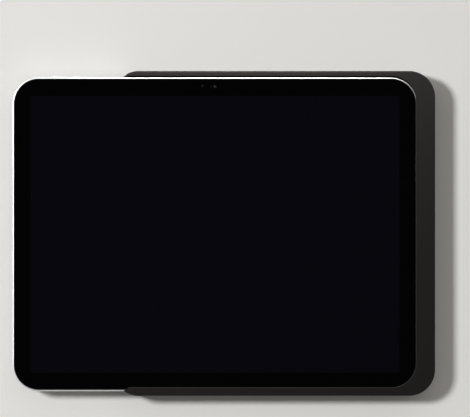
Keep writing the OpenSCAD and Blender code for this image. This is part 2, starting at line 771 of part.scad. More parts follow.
module display_panel() {
    color([0.06, 0.06, 0.09]) in_tablet() translate([0, 0, panel_z]) linear_extrude(panel_t)
        round_rect(-picture_w / 2 - panel_rim, picture_w / 2 + panel_rim,
            -picture_h / 2 - panel_rim, picture_h / 2 + panel_rim, panel_r);
}

module front_camera() {
    color([0.1, 0.1, 0.12]) in_tablet()
        translate([0, tablet_h / 2 - front_camera_down, glass_z - camera_len]) {
            cylinder(d = front_camera_d, h = camera_len);
            translate([0, 0, camera_base_t / 2])
                cube([front_camera_d + camera_base_rim, front_camera_d, camera_base_t], center = true);
        }
}

module light_sensor() {
    color([0.12, 0.12, 0.13]) in_tablet()
        translate([-sensor_in, tablet_h / 2 - front_camera_down + sensor_up, glass_z - sensor_t])
            cylinder(d = sensor_d, h = sensor_t);
}

// Metal shell of the port with the contact tongue on its back wall
module charge_port() {
    inner_end = tablet_w / 2 - port_depth;
    color([0.7, 0.7, 0.7]) in_tablet() translate([0, 0, tablet_t / 2]) {
        difference() {
            along_x(inner_end - port_back, tablet_w / 2 - port_sunk)
                long_hole(port_w + 2 * port_wall - port_fit, port_h + 2 * port_wall - port_fit);
            along_x(inner_end, tablet_w / 2 + past) long_hole(port_w, port_h);
        }
        along_x(inner_end - fit_gap, tablet_w / 2 - tongue_short) square([tongue_w, tongue_h], center = true);
    }
}

// Inner pieces rest on the case's back wall, between it and the display panel
module main_board() {
    color([0.05, 0.2, 0.12]) in_tablet() difference() {
        translate([hollow_w / 2 - main_board_in - main_board_w, -main_board_h / 2, case_back])
            cube([main_board_w, main_board_h, board_t]);
        for (s = [-1, 1])
            translate([hollow_w / 2 - main_board_in - main_board_w / 2,
                s * (main_board_h / 2 - board_hole_in), 0])
                cylinder(d = board_hole_d, h = tablet_t);
    }
}

module battery_cells() {
    color([0.15, 0.15, 0.16]) in_tablet() for (x = [cells_left, cells_right - cell_w])
        translate([x, 0, case_back]) linear_extrude(room)
            round_rect(0, cell_w, -cell_h / 2, cell_h / 2, cell_r);
}

module speakers() {
    color([0.11, 0.11, 0.12]) in_tablet() for (end = [-1, 1], s = [-1, 1])
        translate([end * (hollow_w / 2 - speaker_in - speaker_w / 2), s * speaker_y, case_back])
            linear_extrude(room)
                round_rect(-speaker_w / 2, speaker_w / 2, -speaker_len / 2, speaker_len / 2, speaker_r);
}

module rear_camera_ring() {
    color([0.75, 0.76, 0.77]) in_tablet() at_rear_camera() rotate_extrude() polygon([
        [rear_camera_d / 2 - ring_w, -rear_camera_proud], [rear_camera_d / 2 - ring_lead, -rear_camera_proud],
        [rear_camera_d / 2, ring_lead - rear_camera_proud], [rear_camera_d / 2, 0],
        [rear_camera_d / 2 - ring_step, 0], [rear_camera_d / 2 - ring_step, case_back + ring_lead],
        [rear_camera_d / 2 - ring_w, case_back + ring_lead]
    ]);
}

module rear_camera_lens() {
    color([0.03, 0.03, 0.05]) in_tablet() at_rear_camera()
        translate([0, 0, lens_sunk - rear_camera_proud])
            cylinder(d = rear_camera_d - 2 * (ring_w + screw_gap), h = rear_camera_proud + case_back);
}

module power_button() {
    color([0.8, 0.81, 0.82]) in_tablet() at_power() button_cap(power_len);
}

module volume_up_button() {
    color([0.8, 0.81, 0.82]) in_tablet() at_volume(0) button_cap(volume_len);
}

module volume_down_button() {
    color([0.8, 0.81, 0.82]) in_tablet() at_volume(1) button_cap(volume_len);
}

housing();
wall_plate();
hanging_studs();
locking_screws();
tray_pads();
channel_liner();
end_stops();
dock_plug();
plug_block();
plug_carrier();
carrier_screws();
dock_board();
terminal_block();
terminal_screws();
bay_cover();
bay_cover_screws();
tablet_case();
cover_glass();
display_panel();
front_camera();
light_sensor();
charge_port();
main_board();
battery_cells();
speakers();
rear_camera_ring();
rear_camera_lens();
power_button();
volume_up_button();
volume_down_button();
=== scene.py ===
"""Looks, small finished pieces and stage for the tablet wall mount, laid out as an add-on.

Row frame, in metres: X to the right, -Y out of the wall towards the viewer, Z up. The wall is y = 0.
"""

import json
import math

import bpy
import numpy as np
from bpy.props import FloatProperty, FloatVectorProperty, IntProperty, PointerProperty
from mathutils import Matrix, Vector


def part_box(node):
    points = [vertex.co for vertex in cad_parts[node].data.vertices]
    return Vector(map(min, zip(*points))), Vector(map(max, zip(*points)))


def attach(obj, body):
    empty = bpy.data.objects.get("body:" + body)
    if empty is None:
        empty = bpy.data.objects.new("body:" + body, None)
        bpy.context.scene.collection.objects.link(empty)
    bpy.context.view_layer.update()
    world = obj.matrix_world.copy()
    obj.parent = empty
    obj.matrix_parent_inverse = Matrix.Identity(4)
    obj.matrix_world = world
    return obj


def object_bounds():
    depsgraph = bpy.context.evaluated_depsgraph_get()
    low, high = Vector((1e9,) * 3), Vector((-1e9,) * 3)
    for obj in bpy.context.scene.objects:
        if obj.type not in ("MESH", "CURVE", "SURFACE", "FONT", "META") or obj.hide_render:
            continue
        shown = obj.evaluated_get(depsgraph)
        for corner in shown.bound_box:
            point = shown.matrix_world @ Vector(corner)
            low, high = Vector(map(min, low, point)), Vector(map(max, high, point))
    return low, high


bl_info = {
    "name": "Tablet wall mount",
    "version": (1, 0, 0),
    "blender": (4, 5, 0),
    "location": "View3D > Sidebar > Wall mount",
    "description": "Finishes, threads, contacts and stage for a tablet in its wall mount",
    "category": "Object",
}

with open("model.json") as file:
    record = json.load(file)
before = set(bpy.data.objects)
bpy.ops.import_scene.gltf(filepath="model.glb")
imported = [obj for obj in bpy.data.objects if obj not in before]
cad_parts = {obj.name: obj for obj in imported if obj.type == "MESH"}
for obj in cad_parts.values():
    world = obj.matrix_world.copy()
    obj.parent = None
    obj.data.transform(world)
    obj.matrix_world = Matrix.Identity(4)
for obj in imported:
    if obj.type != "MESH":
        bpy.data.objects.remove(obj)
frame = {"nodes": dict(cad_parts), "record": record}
cad_low, cad_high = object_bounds()

MM = 0.001

# How far a part's foot is sunk into its board, so that no gap shows
SUNK = 0.01 * MM

# Millimetres out of the regulator's side and up from the board, along one of its legs
LEG_BEND = np.array([[-0.2, 0.7], [0.30, 0.7], [0.42, 0.62], [0.52, 0.16], [0.62, 0.07], [1.0, 0.06]])
LEG_STEPS = (-1.5, -0.5, 0.5, 1.5)

# Radius and height in millimetres up a can capacitor, with its crimped groove and its rim
CAN_PROFILE = np.array([
    (0, 0), (1.25, 0), (1.3, 0.05), (1.3, 0.40), (1.2, 0.52), (1.3, 0.64), (1.3, 3.15), (1.22, 3.32),
    (1.0, 3.38), (0.95, 3.33), (0, 3.33)])

# Millimetres across and up from the board's middle, half width, half height and thickness
MAIN_CHIPS = (
    (0.0, 30.0, 7.0, 7.0, 1.0), (-5.5, 14.0, 4.0, 5.0, 0.8), (5.5, 14.0, 4.0, 5.0, 0.8),
    (0.0, -2.0, 6.0, 4.0, 0.9), *((across, -12.0, 1.2, 1.2, 1.1) for across in (-7.0, -3.5, 0.0, 3.5, 7.0)))
MAIN_CANS = (
    (0.0, 50.0, 9.5, 8.5, 1.5), (0.0, -26.0, 9.5, 9.0, 1.5), (0.0, -49.0, 9.5, 10.5, 1.5))

# Towards the key lamp: it casts the front edge's shadow 14.2 mm right of it and 5.1 mm below it
KEY_WAY = (-14.2, -17.3, 5.1)
# Towards the upper lamp, and its distance from the wall
TOP_WAY = (0.0, -0.38, 0.36)
TOP_AWAY = 0.38
# What gloss sees: dark in a cone round the viewer, blending to pale all round
DARK, PALE = (0.012, 0.012, 0.013), (0.86, 0.86, 0.85)
DARK_CONE, CONE_BLEND = math.radians(18), math.radians(60)
# The even light's warmth, and how it grows to the right and upwards
AMBIENT_TINT = (1.04, 0.99, 0.95)
AMBIENT_RIGHT, AMBIENT_UP = 0.24, 0.28
# Pixels across the picture
PICTURE_WIDTH = 470


# Shader maths


class Val:
    """A socket that can be calculated with: each operator adds one Math node and gives its result."""

    def __init__(self, look, socket):
        self.look, self.socket = look, socket

    def math(self, operation, *others, clamp=False):
        node = self.look.tree.nodes.new("ShaderNodeMath")
        node.operation, node.use_clamp = operation, clamp
        for place, value in zip(node.inputs, (self, *others)):
            self.look.feed(place, value)
        return Val(self.look, node.outputs[0])

    def reflected(self, operation, other):
        node = self.look.tree.nodes.new("ShaderNodeMath")
        node.operation = operation
        self.look.feed(node.inputs[0], other)
        self.look.feed(node.inputs[1], self)
        return Val(self.look, node.outputs[0])

    def __add__(self, other):
        return self.math("ADD", other)

    def __sub__(self, other):
        return self.math("SUBTRACT", other)

    def __mul__(self, other):
        return self.math("MULTIPLY", other)

    def __truediv__(self, other):
        return self.math("DIVIDE", other)

    def __pow__(self, other):
        return self.math("POWER", other)

    def __radd__(self, other):
        return self.reflected("ADD", other)

    def __rsub__(self, other):
        return self.reflected("SUBTRACT", other)

    def __rmul__(self, other):
        return self.reflected("MULTIPLY", other)

    def __rtruediv__(self, other):
        return self.reflected("DIVIDE", other)

    def __abs__(self):
        return self.math("ABSOLUTE")

    def at_least(self, other):
        return self.math("MAXIMUM", other)

    def at_most(self, other):
        return self.math("MINIMUM", other)

    def clamped(self):
        return self.math("ADD", 0.0, clamp=True)

    def root(self):
        return self.math("SQRT")

    def wave(self):
        return self.math("SINE")


class Look:
    """A node tree being written: feed() sets or links a socket, node() adds any node."""

    def __init__(self, tree):
        self.tree = tree
        tree.nodes.clear()

    def feed(self, place, value):
        if isinstance(value, Val):
            self.tree.links.new(place, value.socket)
        elif value is not None:
            place.default_value = value

    def node(self, kind, output=0, settings=None, values=None):
        made = self.tree.nodes.new(kind)
        for name, value in (settings or {}).items():
            setattr(made, name, value)
        for name, value in (values or {}).items():
            self.feed(made.inputs[name], value)
        return Val(self, made.outputs[output])

    def place(self):
        """Object coordinates, which are the row frame in metres, as (vector, x, y, z)."""
        vector = self.node("ShaderNodeTexCoord", "Object")
        parts = self.node("ShaderNodeSeparateXYZ", 0, None, {0: vector}).socket.node
        return (vector, *(Val(self, parts.outputs[i]) for i in range(3)))

    def stretched(self, vector, factors):
        """The vector multiplied by three factors, so that a pattern runs along an axis."""
        return self.node("ShaderNodeVectorMath", 0, {"operation": "MULTIPLY"}, {0: vector, 1: factors})

    def noise(self, vector, size, detail=2.0, rough=0.5):
        """Noise from 0 to 1 whose grains are about `size` metres wide."""
        return self.node(
            "ShaderNodeTexNoise", "Fac", {"noise_dimensions": "3D"},
            {"Vector": vector, "Scale": 1.0 / size, "Detail": detail, "Roughness": rough},
        )

    def cells(self, vector, size, feature="F1", output="Distance"):
        """Voronoi cells about `size` metres wide."""
        return self.node(
            "ShaderNodeTexVoronoi", output, {"feature": feature},
            {"Vector": vector, "Scale": 1.0 / size},
        )

    def mix(self, factor, a, b):
        """Colour a where the factor is 0 and colour b where it is 1."""
        return self.node(
            "ShaderNodeMix", 2, {"data_type": "RGBA"}, {0: factor, 6: colour(a), 7: colour(b)}
        )

    def bump(self, height, distance, strength=1.0):
        """A normal from a height of 0 to 1 that stands for `distance` metres."""
        return self.node(
            "ShaderNodeBump", 0, None, {"Height": height, "Distance": distance, "Strength": strength}
        )

    def finish(self, **values):
        """A Principled surface whose sockets are named with underscores for spaces."""
        values = {name.replace("_", " "): value for name, value in values.items()}
        surface = self.node("ShaderNodeBsdfPrincipled", 0, None, values)
        self.output(surface)

    def output(self, surface, kind="ShaderNodeOutputMaterial"):
        end = self.tree.nodes.new(kind)
        self.tree.links.new(end.inputs["Surface"], surface.socket)


def colour(value):
    """Three numbers as a colour with alpha 1; sockets pass through."""
    return value if isinstance(value, Val) else (*value, 1.0)


def shade(tone, factor):
    """A colour made darker or paler by a factor."""
    return tuple(factor * c for c in tone)


def new_material(name):
    material = bpy.data.materials.new(name)
    material.use_nodes = True
    return material, Look(material.node_tree)


# Mesh helpers


def grid_faces(rows, columns, wrap_rows=False, wrap_columns=False, first=0):
    """Quads of a rows x columns grid of points, as an array of corner numbers."""
    r = np.arange(rows if wrap_rows else rows - 1)
    c = np.arange(columns if wrap_columns else columns - 1)
    r, c = (a.ravel() for a in np.meshgrid(r, c, indexing="ij"))
    r2, c2 = (r + 1) % rows, (c + 1) % columns
    return first + np.stack([r * columns + c, r * columns + c2, r2 * columns + c2, r2 * columns + c], 1)


def new_piece(name, points, faces, material, body, slot):
    """A smooth mesh object from arrays, in the row frame, riding on a body. The slot argument is not used."""
    mesh = bpy.data.meshes.new(name)
    mesh.from_pydata(points.tolist(), [], faces)
    mesh.validate()
    mesh.update()
    mesh.shade_smooth()
    piece = bpy.data.objects.new(name, mesh)
    bpy.context.scene.collection.objects.link(piece)
    mesh.materials.append(material)
    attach(piece, body)


def closed_tube(rings, start, end):
    """Points and faces of a tube through rings of points (rows x sides x 3), closed by a fan on one point at
    each end. The faces are turned over where the volume they enclose comes out below 0."""
    count, sides = rings.shape[:2]
    points = np.concatenate([[start], [end], rings.reshape(-1, 3)])
    quads = grid_faces(count, sides, wrap_columns=True, first=2)
    k = np.arange(sides)
    nxt = (k + 1) % sides
    last = 2 + (count - 1) * sides
    head = np.stack([np.zeros_like(k), 2 + nxt, 2 + k], 1)
    tail = np.stack([np.ones_like(k), last + k, last + nxt], 1)
    a, b, c = points[np.concatenate([quads[:, :3], quads[:, [0, 2, 3]], head, tail])].transpose(1, 0, 2)
    faces = [*quads.tolist(), *head.tolist(), *tail.tolist()]
    if np.sum(a * np.cross(b, c)) < 0:
        faces = [face[::-1] for face in faces]
    return points, faces


def turned(profile, centre, axis, sides=32):
    """A closed turned surface: each (radius, height) of the profile goes round `centre` in `sides` steps, the
    height running along the unit vector `axis`. The first and last radius are 0."""
    axis = np.asarray(axis, float)
    across = np.cross(axis, [0.0, 0.0, 1.0] if abs(axis[2]) < 0.9 else [1.0, 0.0, 0.0])
    across /= np.linalg.norm(across)
    other = np.cross(axis, across)
    turn = np.linspace(0, 2 * np.pi, sides, endpoint=False)
    ring = np.cos(turn)[:, None] * across + np.sin(turn)[:, None] * other
    radius, height = np.asarray(profile, float).T
    rings = np.asarray(centre) + radius[:, None, None] * ring[None] + height[:, None, None] * axis
    return closed_tube(rings[1:-1], rings[0, 0], rings[-1, 0])


def swept(path, side, half_width, half_height, sides=12, square=0.4):
    """A closed tube along a path. Round each of its points goes `half_width` times the cosine along `side`
    and `half_height` times the sine across it, both raised to the power `square` with their sign kept:
    a power of 1 gives an ellipse, and a smaller one a rectangle with rounder or sharper corners."""
    path, side = np.asarray(path, float), np.asarray(side, float)
    along = np.gradient(path, axis=0)
    along /= np.linalg.norm(along, axis=1, keepdims=True)
    up = np.cross(along, side)
    turn = np.linspace(0, 2 * np.pi, sides, endpoint=False) + np.pi / sides
    across, rise = (np.sign(f) * np.abs(f) ** square for f in (np.cos(turn), np.sin(turn)))
    wide, tall = (np.broadcast_to(f, len(path))[:, None, None] for f in (half_width, half_height))
    rings = path[:, None] + wide * across[None, :, None] * side + tall * rise[None, :, None] * up[:, None]
    return closed_tube(rings, path[0], path[-1])


def block(centre, half_x, half_z, height, way=1.0):
    """A moulded block on a board: it stands `height` metres off `centre` along Y, narrower at its top."""
    steps = np.array([0.0, 0.12, 0.80, 0.95, 1.0])
    width = np.array([0.97, 1.0, 0.97, 0.95, 0.90])
    path = np.asarray(centre, float) + steps[:, None] * [0.0, way * height, 0.0]
    return swept(path, (1.0, 0.0, 0.0), half_x * width, half_z * width, 24, 0.22)


def dock_board_parts():
    """The parts on the back of the board behind the plug, as (black, bright): a regulator with eight bent
    legs, a coil, three chip capacitors with metal ends, and two can capacitors."""
    low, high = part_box("dock_board")
    x, back = (low.x + high.x) / 2, high.y - SUNK
    regulator, coil, small, cans = (height * MM for height in (2.6, 8.4, 11.6, 14.2))
    reach = 1.6 * MM
    black = [
        block((x, back + 0.1 * MM, regulator), 1.9 * MM, reach, 1.3 * MM),
        block((x, back, coil), 1.9 * MM, 1.9 * MM, 2.0 * MM),
    ]
    bright = []
    for side in (-1, 1):
        for step in LEG_STEPS:
            path = np.stack([
                np.full(len(LEG_BEND), x + step * MM), back + LEG_BEND[:, 1] * MM,
                regulator + side * (reach + LEG_BEND[:, 0] * MM)], 1)
            bright.append(swept(path, (1, 0, 0), 0.19 * MM, 0.06 * MM))
        bright.append(turned(CAN_PROFILE * MM, (x + side * 1.45 * MM, back, cans), (0, 1, 0)))
    for step in (-1.8, 0.0, 1.8):
        at = x + step * MM
        black.append(block((at, back, small), 0.40 * MM, 0.75 * MM, 0.55 * MM))
        for side in (-1, 1):
            bright.append(block((at, back, small + side * 0.65 * MM), 0.43 * MM, 0.17 * MM, 0.58 * MM))
    return black, bright


def main_board_parts():
    """The parts on the front of the tablet's board, as (black, bright): its chips and its shield cans."""
    low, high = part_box("main_board")
    x, front = (low.x + high.x) / 2, low.y + SUNK
    return tuple(
        [
            block((x + across * MM, front, up * MM), wide * MM, tall * MM, thick * MM, -1.0)
            for across, up, wide, tall, thick in rows
        ]
        for rows in (MAIN_CHIPS, MAIN_CANS)
    )


def gathered(parts):
    """Several (points, faces) in one: later faces are moved on by the points before them."""
    points, faces, count = [], [], 0
    for p, f in parts:
        points.append(p)
        faces += [[i + count for i in face] for face in f]
        count += len(points[-1])
    return np.concatenate(points), faces


# Settings


class CoatSettings(bpy.types.PropertyGroup):
    tone: FloatVectorProperty(
        name="Tone", description="Linear colour of the charcoal coat", subtype="COLOR",
        default=(0.0046, 0.0036, 0.0034), min=0, max=1)
    grain: FloatProperty(
        name="Grain", description="Width of the coat's grains", unit="LENGTH", subtype="DISTANCE",
        default=0.50 * MM, min=0.05 * MM, max=2 * MM)
    relief: FloatProperty(
        name="Relief", description="Height of the coat's grains", unit="LENGTH", subtype="DISTANCE",
        default=0.030 * MM, min=0, max=0.2 * MM)
    roughness: FloatProperty(
        name="Roughness", description="Mean roughness of the coat", default=0.38, min=0, max=1)


class CaseSettings(bpy.types.PropertyGroup):
    tone: FloatVectorProperty(
        name="Tone", description="Linear colour of the silver metal", subtype="COLOR",
        default=(0.80, 0.81, 0.82), min=0, max=1)
    grain: FloatProperty(
        name="Grain", description="Width of the blasted dimples", unit="LENGTH", subtype="DISTANCE",
        default=0.09 * MM, min=0.02 * MM, max=1 * MM)
    roughness: FloatProperty(
        name="Roughness", description="Mean roughness of the blasted metal", default=0.38, min=0, max=1)
    gasket: FloatProperty(
        name="Gasket", description="Width of the dark gasket round the cover glass", unit="LENGTH",
        subtype="DISTANCE", default=0.34 * MM, min=0.02 * MM, max=1 * MM)


class GlassSettings(bpy.types.PropertyGroup):
    picture_width: FloatProperty(
        name="Picture width", description="Width of the picture area", unit="LENGTH", subtype="DISTANCE",
        default=255.9 * MM, min=0.2, max=0.27)
    picture_height: FloatProperty(
        name="Picture height", description="Height of the picture area", unit="LENGTH", subtype="DISTANCE",
        default=191.8 * MM, min=0.15, max=0.2)
    picture_corner: FloatProperty(
        name="Picture corner", description="Corner radius of the picture area", unit="LENGTH",
        subtype="DISTANCE", default=0.8 * MM, min=0.1 * MM, max=20 * MM)
    border: FloatVectorProperty(
        name="Border", description="Linear colour of the printed border", subtype="COLOR",
        default=(0.0006, 0.0006, 0.0007), min=0, max=1)
    picture: FloatVectorProperty(
        name="Picture", description="Linear colour of the switched-off picture area", subtype="COLOR",
        default=(0.0024, 0.0021, 0.0040), min=0, max=1)


class ThreadSettings(bpy.types.PropertyGroup):
    pitch: FloatProperty(
        name="Pitch", description="Pitch of the stud's thread", unit="LENGTH", subtype="DISTANCE",
        default=0.7 * MM, min=0.3 * MM, max=2 * MM)
    depth: FloatProperty(
        name="Depth", description="Height of the ridge over the stud's core", unit="LENGTH",
        subtype="DISTANCE", default=0.16 * MM, min=0.05 * MM, max=0.5 * MM)
    core: FloatProperty(
        name="Core", description="Radius of the ridge's foot", unit="LENGTH", subtype="DISTANCE",
        default=1.62 * MM, min=1 * MM, max=3 * MM)
    start: FloatProperty(
        name="Start", description="From the stud's end to the middle of the first turn", unit="LENGTH",
        subtype="DISTANCE", default=0.25 * MM, min=0, max=2 * MM)
    length: FloatProperty(
        name="Length", description="Length of the threaded part", unit="LENGTH", subtype="DISTANCE",
        default=2.4 * MM, min=1 * MM, max=5 * MM)
    inset: FloatProperty(
        name="Inset", description="From the edge of a stud's head to its middle", unit="LENGTH",
        subtype="DISTANCE", default=4.5 * MM, min=2 * MM, max=8 * MM)
    steps: IntProperty(
        name="Steps", description="Points on each turn of the ridge", default=20, min=8, max=64)


class ContactSettings(bpy.types.PropertyGroup):
    count: IntProperty(
        name="Count", description="Contacts on each face of the plug and the port", default=12, min=2, max=12)
    pitch: FloatProperty(
        name="Pitch", description="From one contact to the next", unit="LENGTH", subtype="DISTANCE",
        default=0.5 * MM, min=0.3 * MM, max=0.5 * MM)
    width: FloatProperty(
        name="Width", description="Width of one contact", unit="LENGTH", subtype="DISTANCE",
        default=0.26 * MM, min=0.1 * MM, max=0.4 * MM)
    length: FloatProperty(
        name="Length", description="Length of one contact", unit="LENGTH", subtype="DISTANCE",
        default=4.4 * MM, min=1 * MM, max=5 * MM)
    spring_start: FloatProperty(
        name="Spring start", description="From the plug's mouth to a spring contact", unit="LENGTH",
        subtype="DISTANCE", default=0.9 * MM, min=0.2 * MM, max=1.5 * MM)
    spring_off: FloatProperty(
        name="Spring offset", description="From the plug's middle to the ends of a spring's middle line",
        unit="LENGTH", subtype="DISTANCE", default=0.505 * MM, min=0.4 * MM, max=0.6 * MM)
    spring_half: FloatProperty(
        name="Spring half thickness", description="Half the thickness of a spring contact", unit="LENGTH",
        subtype="DISTANCE", default=0.05 * MM, min=0.02 * MM, max=0.1 * MM)
    pad_start: FloatProperty(
        name="Pad start", description="From the tongue's end of the plug's mouth back to a flat contact",
        unit="LENGTH", subtype="DISTANCE", default=0.2 * MM, min=0, max=1 * MM)
    pad_off: FloatProperty(
        name="Pad offset", description="From the tongue's middle to a flat contact's middle", unit="LENGTH",
        subtype="DISTANCE", default=0.352 * MM, min=0.3 * MM, max=0.38 * MM)
    pad_half: FloatProperty(
        name="Pad half thickness", description="Half the thickness of a flat contact", unit="LENGTH",
        subtype="DISTANCE", default=0.03 * MM, min=0.01 * MM, max=0.05 * MM)
    bow: FloatProperty(
        name="Bow", description="How far a spring contact stands out at its middle", unit="LENGTH",
        subtype="DISTANCE", default=0.04 * MM, min=0, max=0.06 * MM)


class LensSettings(bpy.types.PropertyGroup):
    rise: FloatProperty(
        name="Rise", description="Height of the rear lens's dome", unit="LENGTH", subtype="DISTANCE",
        default=0.22 * MM, min=0.05 * MM, max=0.28 * MM)
    sides: IntProperty(
        name="Sides", description="Steps round the rear lens's dome", default=64, min=16, max=128)


class StageSettings(bpy.types.PropertyGroup):
    view_distance: FloatProperty(
        name="View distance", description="From the camera to the front of the mount", unit="LENGTH",
        subtype="DISTANCE", default=2.4, min=0.5, max=10)
    scale: FloatProperty(
        name="Scale", description="Size of one pixel at the front of the mount", unit="LENGTH",
        subtype="DISTANCE", default=0.693 * MM, min=0.1 * MM, max=5 * MM)
    centre_x: FloatProperty(
        name="Centre across", description="X at the middle of the image", unit="LENGTH",
        subtype="DISTANCE", default=-27.0 * MM, min=-1, max=1)
    centre_z: FloatProperty(
        name="Centre up", description="Z at the middle of the image", unit="LENGTH",
        subtype="DISTANCE", default=17.3 * MM, min=-1, max=1)
    key_distance: FloatProperty(
        name="Key distance", description="From the wall to the key lamp", unit="LENGTH",
        subtype="DISTANCE", default=2.6, min=0.3, max=5)
    key_size: FloatProperty(
        name="Key size", description="Side of the square key lamp", unit="LENGTH",
        subtype="DISTANCE", default=0.58, min=0.05, max=3)
    key_share: FloatProperty(
        name="Key share", description="The key lamp's part of the plain level of light on the wall",
        default=0.66, min=0, max=2)
    top_share: FloatProperty(
        name="Top share", description="The upper lamp's strength, seen only in gloss and metal",
        default=0.86, min=0, max=5)
    top_size: FloatProperty(
        name="Top size", description="Side of the square upper lamp", unit="LENGTH",
        subtype="DISTANCE", default=0.20, min=0.05, max=3)
    ambient: FloatProperty(
        name="Ambient", description="Light from all round, on the level", default=0.30, min=0, max=2)
    wall_tone: FloatVectorProperty(
        name="Wall", description="Linear colour of the wall", subtype="COLOR",
        default=(0.735, 0.735, 0.720), min=0, max=1)


class MountSettings(bpy.types.PropertyGroup):
    coat: PointerProperty(type=CoatSettings)
    case: PointerProperty(type=CaseSettings)
    glass: PointerProperty(type=GlassSettings)
    thread: PointerProperty(type=ThreadSettings)
    contact: PointerProperty(type=ContactSettings)
    lens: PointerProperty(type=LensSettings)
    stage: PointerProperty(type=StageSettings)


# Finishes


def coat_finish(look, tone, grain, relief, roughness):
    """Fine-textured matt coat: rounded grains in relief, a slower unevenness in tone and gloss."""
    vector, *_ = look.place()
    fine = look.noise(vector, grain, 3.0, 0.6)
    slow = look.noise(vector, grain * 40, 2.0)
    dark = shade(tone, 0.84)
    pale = shade(tone, 1.16)
    look.finish(
        Base_Color=look.mix((fine * 0.7 + slow * 0.3).clamped(), dark, pale),
        Roughness=roughness - 0.05 + fine * 0.10,
        Normal=look.bump(fine, relief),
        Specular_IOR_Level=0.35,
        Specular_Tint=(1.0, 0.93, 0.87, 1.0),
    )


def blasted_finish(look, tone, grain, roughness, gasket):
    """Bead-blasted metal: even shallow dimples and a slightly varying gloss. A thin dark gasket runs round
    the cover glass on the tablet's front: the points less than `gasket` metres outside the glass."""
    vector, x, y, z = look.place()
    low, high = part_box("cover_glass")
    edge = rounded_box(
        x, z, ((low.x + high.x) / 2, (low.z + high.z) / 2),
        ((high.x - low.x) / 2 + gasket, (high.z - low.z) / 2 + gasket), 17.3 * MM + gasket)
    sealed = inside(edge, 0.03 * MM) * inside(y - (low.y + 0.5 * MM), 0.05 * MM)
    dimples = look.cells(vector, grain)
    slow = look.noise(vector, grain * 60, 2.0)
    look.finish(
        Base_Color=look.mix(sealed, look.mix(slow, shade(tone, 0.96), tone), (0.004, 0.004, 0.004)),
        Metallic=1.0 - sealed, Roughness=roughness - 0.04 + slow * 0.08 + sealed * 0.3,
        Normal=look.bump(dimples, 0.004 * MM),
    )


def rolled_finish(look, tone, roughness, along=(1.0, 1.0, 30.0)):
    """Rolled or brushed metal: fine streaks along one axis."""
    vector, *_ = look.place()
    streaks = look.noise(look.stretched(vector, along), 4 * MM, 5.0, 0.65)
    look.finish(
        Base_Color=look.mix(streaks, shade(tone, 0.86), tone), Metallic=1.0,
        Roughness=roughness - 0.06 + streaks * 0.12, Normal=look.bump(streaks, 0.006 * MM),
    )


def plated_finish(look, tone, roughness):
    """Plated metal: small tone changes and faint handling marks in the gloss."""
    vector, *_ = look.place()
    cloud = look.noise(vector, 1.2 * MM, 4.0)
    look.finish(
        Base_Color=look.mix(cloud, shade(tone, 0.88), tone), Metallic=1.0,
        Roughness=roughness - 0.05 + cloud * 0.12, Normal=look.bump(cloud, 0.004 * MM),
    )


def moulded_finish(look, tone, roughness, grain=0.25 * MM, relief=0.008 * MM):
    """Moulded plastic or rubber: a fine even spark-eroded grain."""
    vector, *_ = look.place()
    fine = look.noise(vector, grain, 3.0)
    look.finish(
        Base_Color=look.mix(fine, shade(tone, 0.85), shade(tone, 1.15)),
        Roughness=roughness - 0.06 + fine * 0.12, Normal=look.bump(fine, relief),
    )


def felt_finish(look, tone):
    """Pressed felt: crossing fibres of two directions over a lumpy base."""
    vector, *_ = look.place()
    fibre_a = look.noise(look.stretched(vector, (1.0, 1.0, 9.0)), 0.9 * MM, 4.0, 0.7)
    fibre_b = look.noise(look.stretched(vector, (9.0, 1.0, 1.0)), 0.9 * MM, 4.0, 0.7)
    lumps = look.noise(vector, 2.5 * MM, 2.0)
    fibres = fibre_a.at_least(fibre_b) * 0.7 + lumps * 0.3
    look.finish(
        Base_Color=look.mix(fibres, shade(tone, 0.5), shade(tone, 1.9)),
        Roughness=0.95, Sheen_Weight=0.3, Normal=look.bump(fibres, 0.12 * MM),
    )


def board_finish(look, tone):
    """Solder mask over copper: tracks show as paler bands, and small round vias as dots."""
    vector, x, _, z = look.place()
    weave = look.noise(vector, 6 * MM, 1.0)
    tracks = ((x * 5200.0 + weave * 14.0).wave() * 0.5 + 0.5) ** 6.0
    runs = ((z * 3700.0 + weave * 11.0).wave() * 0.5 + 0.5) ** 6.0
    copper = tracks.at_least(runs)
    vias = 1.0 - (look.cells(vector, 3.1 * MM) * 6.0).clamped()
    look.finish(
        Base_Color=look.mix(copper * 0.6 + vias * 0.4, tone, tuple(min(1.0, 1.9 * c + 0.01) for c in tone)),
        Roughness=0.32 + copper * 0.10, Normal=look.bump(copper, 0.02 * MM),
    )


def foil_finish(look, tone):
    """Thin black foil wrap: long soft wrinkles."""
    vector, *_ = look.place()
    wrinkles = look.noise(look.stretched(vector, (1.0, 1.0, 3.0)), 9 * MM, 3.0)
    look.finish(
        Base_Color=look.mix(wrinkles, shade(tone, 0.8), shade(tone, 1.3)),
        Roughness=0.38 + wrinkles * 0.15, Normal=look.bump(wrinkles, 0.15 * MM),
    )


def rounded_box(x, z, centre, half, radius):
    """Signed distance in metres to a rounded rectangle: below 0 inside it."""
    across = abs(x - centre[0]) - (half[0] - radius)
    up = abs(z - centre[1]) - (half[1] - radius)
    outside = (across.at_least(0.0) ** 2.0 + up.at_least(0.0) ** 2.0).root()
    return outside + across.at_least(up).at_most(0.0) - radius


def disc(x, z, centre, radius):
    """Signed distance in metres to a circle."""
    return ((x - centre[0]) ** 2.0 + (z - centre[1]) ** 2.0).root() - radius


def inside(distance, soft):
    """1 inside a signed distance's outline and 0 outside, blended over `soft` metres."""
    return (0.5 - distance / soft).clamped()


